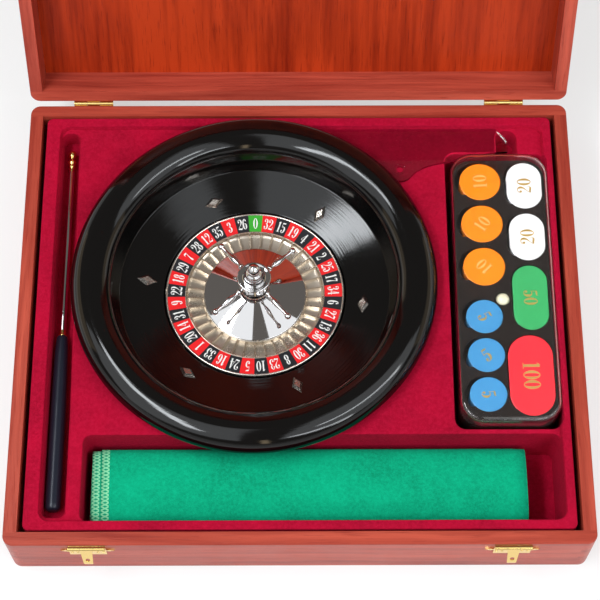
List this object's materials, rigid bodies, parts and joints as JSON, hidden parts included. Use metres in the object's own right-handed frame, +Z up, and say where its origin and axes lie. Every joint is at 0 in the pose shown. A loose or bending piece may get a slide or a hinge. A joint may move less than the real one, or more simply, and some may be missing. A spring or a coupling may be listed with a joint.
{
  "type": "roulette set case",
  "caption": "Hinged mahogany-stained wooden game case, open, with a roulette wheel, rake, felt cloth and boxed chips in a crimson flocked tray.",
  "frame": {"origin": "middle of the base's footprint, on the surface that the case stands on", "axes": "+Z up, +X to the right as seen from the front, +Y towards the hinges; the latches face -Y"},
  "size_m": [0.454, 0.5699, 0.4175],
  "materials": {
    "mahogany_wood": "satin",
    "plywood_panel": "satin",
    "crimson_flock": "matte",
    "green_felt": "matte",
    "black_gloss": "gloss",
    "chrome": "polished",
    "pocket_metal": "satin",
    "number_print": "gloss",
    "brass": "polished",
    "steel": "brushed",
    "grip_plastic": "satin",
    "clear_acrylic": "gloss",
    "dark_tray_plastic": "gloss",
    "orange_chip": "gloss",
    "blue_chip": "gloss",
    "white_chip": "gloss",
    "green_chip": "gloss",
    "red_chip": "gloss",
    "ivory": "gloss"
  },
  "bodies": {
    "case": {"base_front_wall": "mahogany_wood", "base_rear_wall": "mahogany_wood", "base_left_wall": "mahogany_wood", "base_right_wall": "mahogany_wood", "base_bottom_panel": "plywood_panel", "tray_deck": "crimson_flock", "tray_flange": "crimson_flock", "tray_wheel_well": "crimson_flock", "tray_rake_slot": "crimson_flock", "tray_chip_bay": "crimson_flock", "tray_cloth_trough": "crimson_flock", "hinge_base_leaves": "brass", "hinge_pins": "steel", "latch_left_plate": "brass", "latch_right_plate": "brass", "latch_pins": "steel", "rake_head": "clear_acrylic", "felt_cloth": "green_felt"},
    "lid": {"lid_front_rail": "mahogany_wood", "lid_rear_rail": "mahogany_wood", "lid_left_rail": "mahogany_wood", "lid_right_rail": "mahogany_wood", "lid_panel": "plywood_panel", "hinge_lid_leaves": "brass", "lid_catches": "brass"},
    "left_hasp": {"latch_left_hasp": "brass"},
    "right_hasp": {"latch_right_hasp": "brass"},
    "wheel": {"wheel_bowl": "black_gloss", "wheel_deflectors": "chrome", "wheel_spindle": "steel"},
    "rotor": {"rotor_disc": "black_gloss", "number_ring": "number_print", "rotor_trim_ring": "chrome", "pocket_ring": "pocket_metal", "rotor_cone": "chrome", "turret": "chrome", "turret_handles": "chrome"},
    "rake_stick": {"stick_grip": "grip_plastic", "stick_ferrule": "brass", "stick_rod": "chrome", "stick_tip": "brass"},
    "chip_box": {"chip_tray": "dark_tray_plastic", "chips_ten": "orange_chip", "chips_five": "blue_chip", "plaques_twenty": "white_chip", "plaque_fifty": "green_chip", "plaque_hundred": "red_chip", "roulette_ball": "ivory"},
    "cover": {"clear_cover": "clear_acrylic"}
  },
  "joints": [
    {"name": "lid_hinge", "type": "hinge", "parent": "case", "child": "lid", "pos_m": [0, 0.195, 0.05815], "axis": [-1, 0, 0], "range_deg": [-112, 0]},
    {"name": "left_hasp_hinge", "type": "hinge", "parent": "case", "child": "left_hasp", "pos_m": [-0.1627, -0.1956, 0.0562], "axis": [-1, 0, 0], "range_deg": [-9, 164]},
    {"name": "right_hasp_hinge", "type": "hinge", "parent": "case", "child": "right_hasp", "pos_m": [0.1627, -0.1956, 0.0562], "axis": [-1, 0, 0], "range_deg": [-9, 164]},
    {"name": "wheel_lift", "type": "slide", "parent": "case", "child": "wheel", "axis": [0, 0, 1], "range_m": [0, 0.07]},
    {"name": "rotor_spin", "type": "hinge", "parent": "wheel", "child": "rotor", "pos_m": [-0.0365, 0.0287, 0.03], "axis": [0, 0, 1], "continuous": true},
    {"name": "rake_stick_lift", "type": "slide", "parent": "case", "child": "rake_stick", "axis": [0, 0, 1], "range_m": [0, 0.04]},
    {"name": "chip_box_lift", "type": "slide", "parent": "case", "child": "chip_box", "axis": [0, 0, 1], "range_m": [0, 0.07]},
    {"name": "cover_lift", "type": "slide", "parent": "chip_box", "child": "cover", "axis": [0, 0, 1], "range_m": [0, 0.03]}
  ]
}
